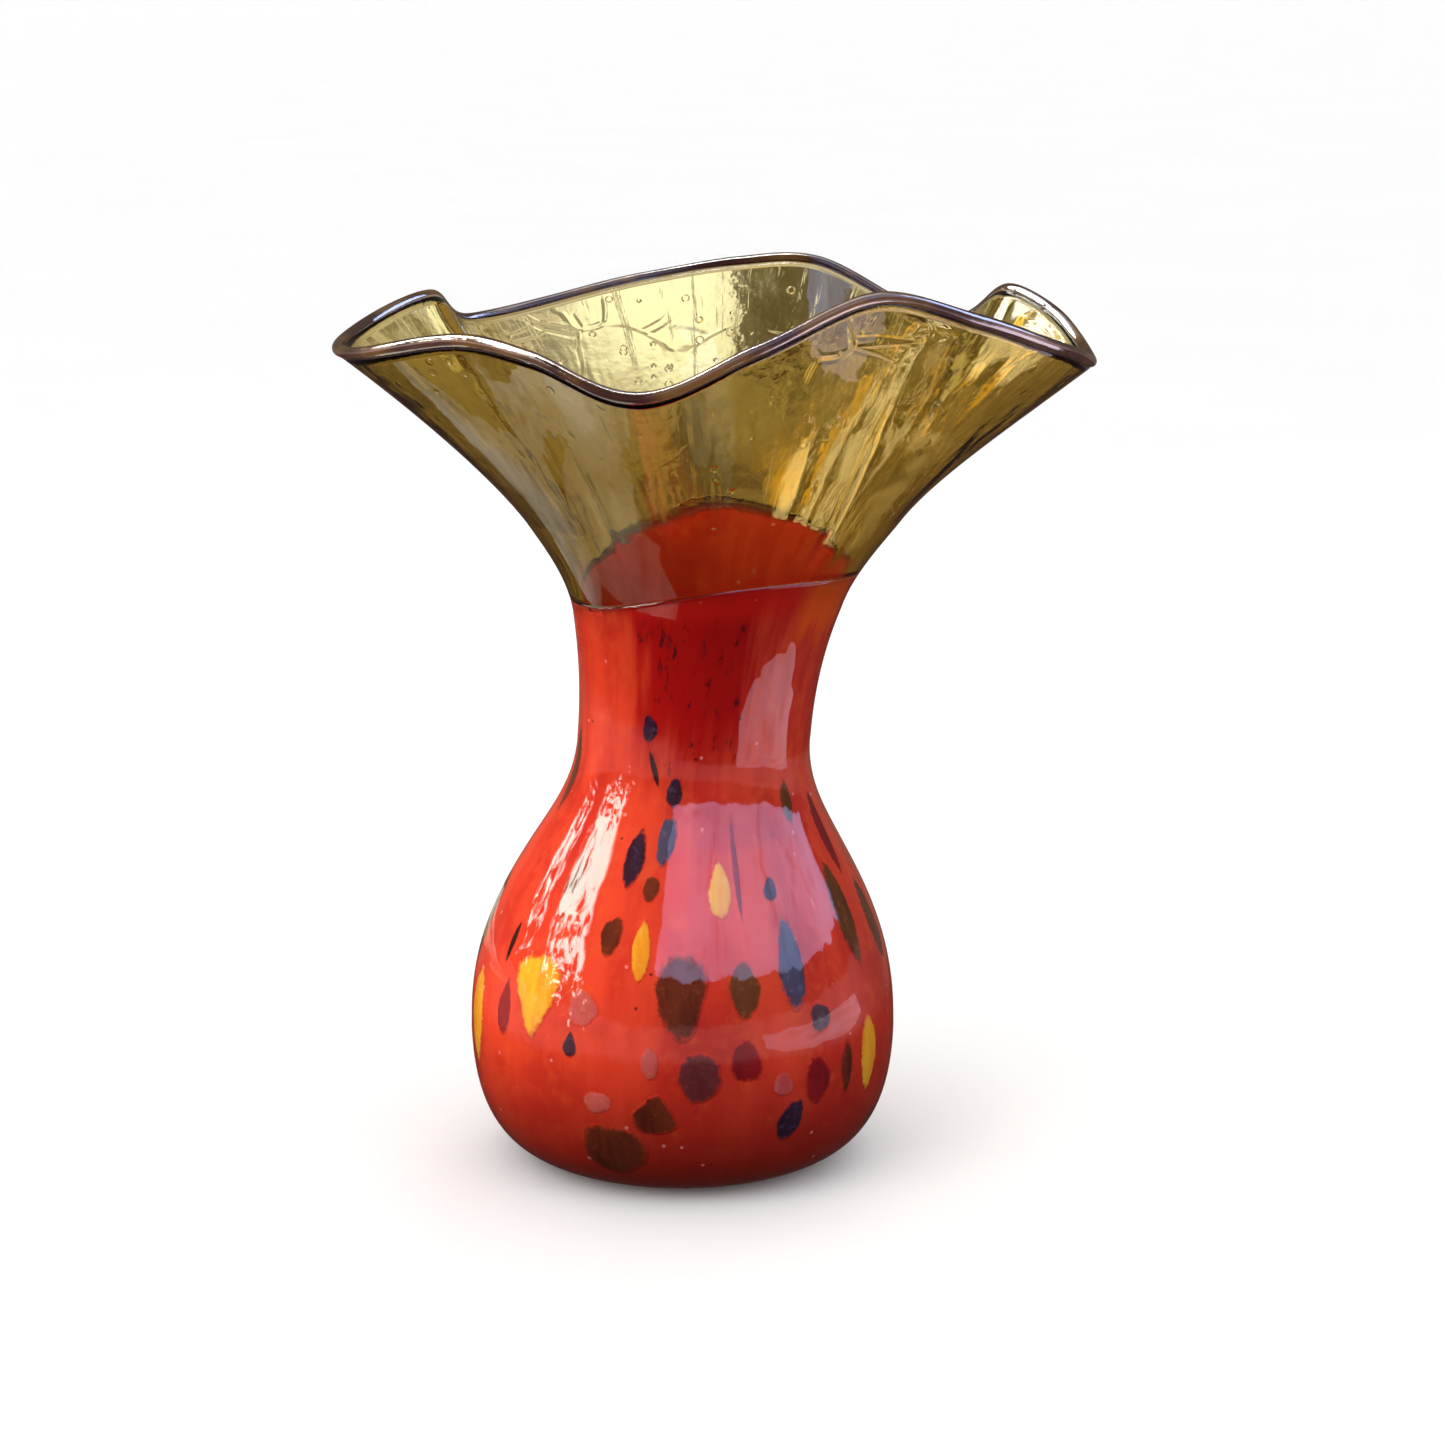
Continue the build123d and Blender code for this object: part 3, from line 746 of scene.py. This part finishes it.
def chip_glass(name, main, deep, light):
    """Chip colour with drawn-out streaks and grain, melted into the body colour at its edge."""
    g = Graph(name)
    wave, _, _ = g.stretched(9.0, 40.0)
    spot, _, _, _ = g.place()
    tone = g.mix(g.ramp(g.noise(wave, 1.0, 4.0, 0.6), 0.4, 0.7), main, deep)
    grain = g.ramp(g.noise(spot, 420.0, 4.0, 0.7), 0.52, 0.75, 0.0, 0.6)
    tone = g.mix(grain, tone, light)
    uneven = g.math("MULTIPLY", g.math("SUBTRACT", g.noise(spot, 700.0, 3.0), 0.5), 0.35)
    inside = g.ramp(g.math("ADD", g.attribute("edge"), uneven), 1.0, 0.80, 0.0, 0.96)
    return cased_surface(g, g.mix(inside, body_colour(g), tone))


# ---------------------------------------------------------------- pieces
def place_glass(piece, material, node_name):
    """Put a glass piece in the frame in place of its CAD node."""
    piece.data.materials.append(material)
    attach(piece, "root")
    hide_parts(node_name)


def build_vase():
    """Every glass piece, each in place of its CAD node."""
    place_glass(casing_mesh(), clear_glass(), "clear_casing")
    place_glass(core_mesh(), orange_red(), "orange_red_core")
    place_glass(mouth_mesh(), amber(), "amber_mouth")
    place_glass(bead_mesh(), lip(), "lip_wrap")
    glasses = {colour: chip_glass(colour + "_glass", *tones) for colour, tones in CHIP_COLOURS.items()}
    counts = dict.fromkeys(CHIP_COLOURS, 0)
    for seed, row in enumerate(CHIPS):
        colour = row[0]
        counts[colour] += 1
        node_name = f"{colour}_chip_{counts[colour]:02d}"
        piece = chip_mesh(node_name + "_flake", seed, row)
        place_glass(piece, glasses[colour], node_name)


# ---------------------------------------------------------------- studio (metres)
FLOOR_REACH = 40.0
FLOOR_SIDES = 96
CARD_STEPS = 24             # quads round a mirrored card
LIGHT_TARGET = (0.008, 0, 0.13)
CAMERA_TARGET = (0.0119, 0.0, 0.130)
CAMERA_DISTANCE = 1.0
CAMERA_TILT = 12.5          # degrees above level
CAMERA_LENS = 84.96
CAMERA_SENSOR = 36.0

# Dim and bright tone of the cards that the glass mirrors.
STREAK_TONES = ((1.6, 1.2, 1.3, 1), (2.2, 1.9, 2.3, 1))
HAZE_TONES = ((0.45, 0.46, 0.36, 1), (1.1, 1.1, 0.95, 1))

# Tones of the mirrored surroundings.
PLAIN_WHITE = (1.08, 1.08, 1.08, 1)
GROUND_BELOW = (0.06, 0.035, 0.03, 1)
PAVING_BEHIND = (0.16, 0.13, 0.10, 1)
PAVING_AHEAD = (0.85, 0.50, 0.50, 1)
TREES = (0.10, 0.09, 0.07, 1)
OVERHEAD = (0.9, 0.9, 1.0, 1)
SKY_TONES = ((1.7, 2.1, 3.6, 1), (2.3, 2.8, 4.6, 1))
SKY_FRAME = (0.9, 0.8, 1.2, 1)
SKY_CLOUD = (0.9, 1.0, 1.7, 1)
SKY_GLINT = (5.0, 5.2, 6.5, 1)
STRIPS = ((-2.12, -1.80, 0.42, 15.0), (-1.62, -1.10, 0.36, 18.0))     # (start, stop, lowest level, glow)

# Tones of what shows through the amber.
LEAF_TONES = ((0.42, 0.40, 0.30, 1), (1.05, 1.04, 1.04, 1))
WARM_SIDE = (1.25, 1.10, 0.75, 1)
PALE_BACK = (2.1, 2.4, 2.7, 1)
DARK_BUSH = (0.17, 0.14, 0.06, 1)
SUNLIT = (2.9, 2.2, 0.45, 1)
GROUND_THROUGH = (0.55, 0.42, 0.28, 1)


def floor():
    """Plain pale floor; the glass neither mirrors it nor shows it through."""
    mesh = bpy.data.meshes.new("studio_floor")
    turns = [2 * math.pi * k / FLOOR_SIDES for k in range(FLOOR_SIDES)]
    points = [(FLOOR_REACH * math.cos(turn), FLOOR_REACH * math.sin(turn), 0) for turn in turns]
    mesh.from_pydata(points, [], [tuple(range(FLOOR_SIDES))])
    ground = bpy.data.objects.new("studio_floor", mesh)
    bpy.context.scene.collection.objects.link(ground)
    ground.visible_glossy = False
    ground.visible_transmission = False
    g = Graph("pale_floor")
    spot, _, _, _ = g.place()
    tone = g.mix(g.noise(spot, 3.0, 2.0), (0.89, 0.89, 0.895, 1), (0.92, 0.92, 0.92, 1))
    shader = g.add("BsdfPrincipled", Base_Color=tone, Roughness=0.7)
    shader.inputs["Specular IOR Level"].default_value = 0.05
    mesh.materials.append(g.surface(shader.outputs[0]))


def facing(place, back):
    """Placement of a lamp or camera that looks away from the direction back."""
    return Matrix.Translation(place) @ back.to_track_quat("Z", "Y").to_matrix().to_4x4()


def softbox(name, direction, distance, width, height, radiance, colour):
    """Rectangular area light aimed at the middle of the vase, given by its brightness."""
    lamp = bpy.data.lights.new(name, "AREA")
    lamp.shape = "RECTANGLE"
    lamp.size, lamp.size_y = width, height
    lamp.energy = radiance * math.pi * width * height
    lamp.color = colour
    light = bpy.data.objects.new(name, lamp)
    light.visible_glossy = False
    light.visible_transmission = False
    aim = Vector(LIGHT_TARGET)
    back = Vector(direction).normalized()
    light.matrix_world = facing(aim + back * distance, back)
    bpy.context.scene.collection.objects.link(light)


def mirrored_surroundings(g, azimuth, z, spot):
    """What the glass mirrors: a soft window of sky on the right, bright strips on the left, a dim rest."""
    waver = g.math("ADD", g.math("MULTIPLY", g.math("SUBTRACT", g.noise(spot, 5.0, 4.0, 0.6), 0.5), 0.16),
                   g.math("MULTIPLY", g.math("SUBTRACT", g.noise(spot, 28.0, 3.0, 0.6), 0.5), 0.05))
    level = g.math("ADD", z, waver)
    turn = g.math("ADD", azimuth, g.math("MULTIPLY", waver, 0.8))
    ahead = g.ramp(g.math("ABSOLUTE", azimuth), 2.3, 1.7)
    paving = g.mix(ahead, PAVING_BEHIND, PAVING_AHEAD)
    colour = g.mix(g.ramp(z, -0.26, -0.20), GROUND_BELOW, paving)
    colour = g.mix(g.ramp(level, 0.02, 0.06), colour, TREES)
    colour = g.mix(g.ramp(z, 0.80, 0.92), colour, OVERHEAD)
    sill = g.math("ADD", level, g.math("MULTIPLY", turn, 0.09))
    sky = g.math("MULTIPLY", g.band(turn, -0.30, 1.95, 0.02), g.band(sill, 0.36, 0.90, 0.008))
    frames = g.math("ADD", g.band(turn, 0.38, 0.41, 0.008), g.band(turn, 1.10, 1.14, 0.01))
    tone = g.mix(g.ramp(g.noise(spot, 4.0, 3.0), 0.35, 0.65), *SKY_TONES)
    tone = g.mix(g.math("MULTIPLY", frames, 0.45), tone, SKY_FRAME)
    dim = g.ramp(g.noise(spot, 7.5, 4.0, 0.65), 0.56, 0.66, 0.0, 0.55)
    tone = g.mix(dim, tone, SKY_CLOUD)
    tone = g.mix(g.dots(spot, 26.0, 0.20, 0.14), tone, SKY_GLINT)
    colour = g.mix(sky, colour, tone)
    slant = g.math("ADD", turn, g.math("MULTIPLY", g.math("SUBTRACT", z, 0.4), 0.5))
    torn = g.math("MULTIPLY", g.math("SUBTRACT", g.noise(spot, 15.0, 6.0, 0.75), 0.5), 2.4)
    broken = g.math("ADD", torn, z)
    for start, stop, low, glow in STRIPS:
        strip = g.math("MULTIPLY", g.band(slant, start, stop, 0.03), g.band(broken, low, 0.95, 0.12))
        colour = g.mix(strip, colour, (glow, 0.95 * glow, 0.85 * glow, 1))
    return colour


def seen_through(g, x, azimuth, z, spot):
    """What shows through the clear amber: pale surroundings, dim foliage and a sunlit streak."""
    ripple = g.math("MULTIPLY", g.math("SUBTRACT", g.noise(spot, 90.0, 4.0, 0.65), 0.5), 0.02)
    aside = g.math("ADD", x, ripple)
    leaves = g.ramp(g.noise(spot, 11.0, 4.0, 0.6), 0.44, 0.54)
    colour = g.mix(leaves, *LEAF_TONES)
    warm_glow = g.band(azimuth, 1.9, 2.9, 0.25)
    colour = g.mix(g.math("MULTIPLY", warm_glow, 0.7), colour, WARM_SIDE)
    pale = g.math("MULTIPLY", g.band(aside, -0.05, 0.004, 0.012), g.ramp(z, -0.128, -0.112))
    colour = g.mix(g.math("MULTIPLY", pale, 0.9), colour, PALE_BACK)
    bush = g.math("MULTIPLY", g.band(aside, 0.006, 0.026, 0.002), g.ramp(z, -0.125, -0.118))
    colour = g.mix(g.math("MULTIPLY", bush, 0.9), colour, DARK_BUSH)
    sunny = g.math("MULTIPLY", g.band(aside, 0.020, 0.046, 0.008), g.band(z, -0.192, -0.155, 0.010))
    rising = g.math("SUBTRACT", g.math("ADD", z, 0.205), g.math("MULTIPLY", aside, 1.07))
    shaft = g.math("MULTIPLY", g.band(rising, -0.012, 0.008, 0.005), g.band(aside, 0.040, 0.086, 0.008))
    colour = g.mix(g.math("MULTIPLY", g.math("MAXIMUM", sunny, shaft), 0.9), colour, SUNLIT)
    return g.mix(g.ramp(z, -0.40, -0.9), colour, GROUND_THROUGH)


def mirrored_card(name, near, far, start, stop, height, wear, dim, bright):
    """Glowing card round the vase, lit on top and seen only where the glass mirrors it.

    It lies between the radii near and far and the azimuths start and stop, in degrees.  In patches
    the share wear of its glow is worn away.
    """
    points = []
    for reach in (near, far):
        for k in range(CARD_STEPS + 1):
            share = k / CARD_STEPS
            turn = math.radians(start + (stop - start) * share)
            bulge = 1 + 0.35 * (2 * share - 1) ** 4 if reach == near else 1.0
            points.append((reach * bulge * math.sin(turn), -reach * bulge * math.cos(turn), height))
    faces = [(k + 1, k, CARD_STEPS + 1 + k, CARD_STEPS + 2 + k) for k in range(CARD_STEPS)]
    mesh = bpy.data.meshes.new(name)
    mesh.from_pydata(points, [], faces)
    card = bpy.data.objects.new(name, mesh)
    bpy.context.scene.collection.objects.link(card)
    card.visible_camera = False
    card.visible_diffuse = False
    card.visible_transmission = False
    card.visible_shadow = False
    g = Graph(name)
    spot, _, _, _ = g.place()
    tone = g.mix(g.ramp(g.noise(spot, 9.0, 4.0), 0.35, 0.65), dim, bright)
    below = g.add("NewGeometry").outputs["Backfacing"]
    worn = g.ramp(g.noise(spot, 16.0, 3.0), 0.30, 0.50, 1.0 - wear, 1.0)
    hidden = g.math("SUBTRACT", 1.0, g.math("MULTIPLY", g.math("SUBTRACT", 1.0, below), worn))
    mixed = g.add("MixShader", Fac=hidden)
    g.feed(mixed.inputs[1], g.add("Emission", Color=tone, Strength=1.0).outputs[0])
    g.feed(mixed.inputs[2], g.add("BsdfTransparent").outputs[0])
    mesh.materials.append(g.surface(mixed.outputs[0]))


def studio_world():
    """Plain pale surroundings; mirrored and refracted rays see a soft scene instead."""
    g = Graph("studio", bpy.data.worlds, "World")
    bpy.context.scene.world = g.material
    spot = g.add("TexCoord").outputs["Generated"]
    split = g.add("SeparateXYZ", Vector=spot)
    x, y, z = split.outputs[0], split.outputs[1], split.outputs[2]
    azimuth = g.math("ARCTAN2", x, g.math("MULTIPLY", y, -1.0))
    path = g.add("LightPath")
    colour = g.mix(path.outputs["Is Glossy Ray"], PLAIN_WHITE, mirrored_surroundings(g, azimuth, z, spot))
    direct = g.math("LESS_THAN", path.outputs["Diffuse Depth"], 0.5)
    clear = g.math("MULTIPLY", path.outputs["Is Transmission Ray"], direct)
    colour = g.mix(clear, colour, seen_through(g, x, azimuth, z, spot))
    backdrop = g.add("Background", Color=colour, Strength=1.0)
    g.surface(backdrop.outputs[0])


def camera():
    """Looks at the vase from the front, a little above it, at the photograph's angle."""
    data = bpy.data.cameras.new("camera")
    data.lens = CAMERA_LENS
    data.sensor_width = CAMERA_SENSOR
    data.clip_end = 200.0
    viewer = bpy.data.objects.new("camera", data)
    tilt = math.radians(CAMERA_TILT)
    back = Vector((0, -math.cos(tilt), math.sin(tilt)))
    viewer.matrix_world = facing(Vector(CAMERA_TARGET) + back * CAMERA_DISTANCE, back)
    bpy.context.scene.collection.objects.link(viewer)
    bpy.context.scene.camera = viewer


build_vase()
floor()
mirrored_card("streak_card", 0.26, 0.80, 42.0, 104.0, 0.0005, 0.0, *STREAK_TONES)
mirrored_card("haze_card", 0.070, 0.135, -100.0, -22.0, 0.060, 0.8, *HAZE_TONES)
mirrored_card("far_haze_card", 0.070, 0.210, -145.0, -100.0, 0.060, 0.8, *HAZE_TONES)
studio_world()
softbox("left_front", (-0.75, -0.75, 0.75), 1.2, 0.8, 0.8, 2.4, (1.0, 0.98, 0.94))
softbox("right_front", (0.80, -0.60, 0.50), 1.3, 0.5, 0.9, 1.0, (0.95, 0.94, 1.0))
softbox("behind", (0.35, 0.95, 0.45), 1.2, 0.8, 0.7, 1.5, (1.0, 0.97, 0.90))
camera()
bpy.context.scene.view_settings.view_transform = "Standard"
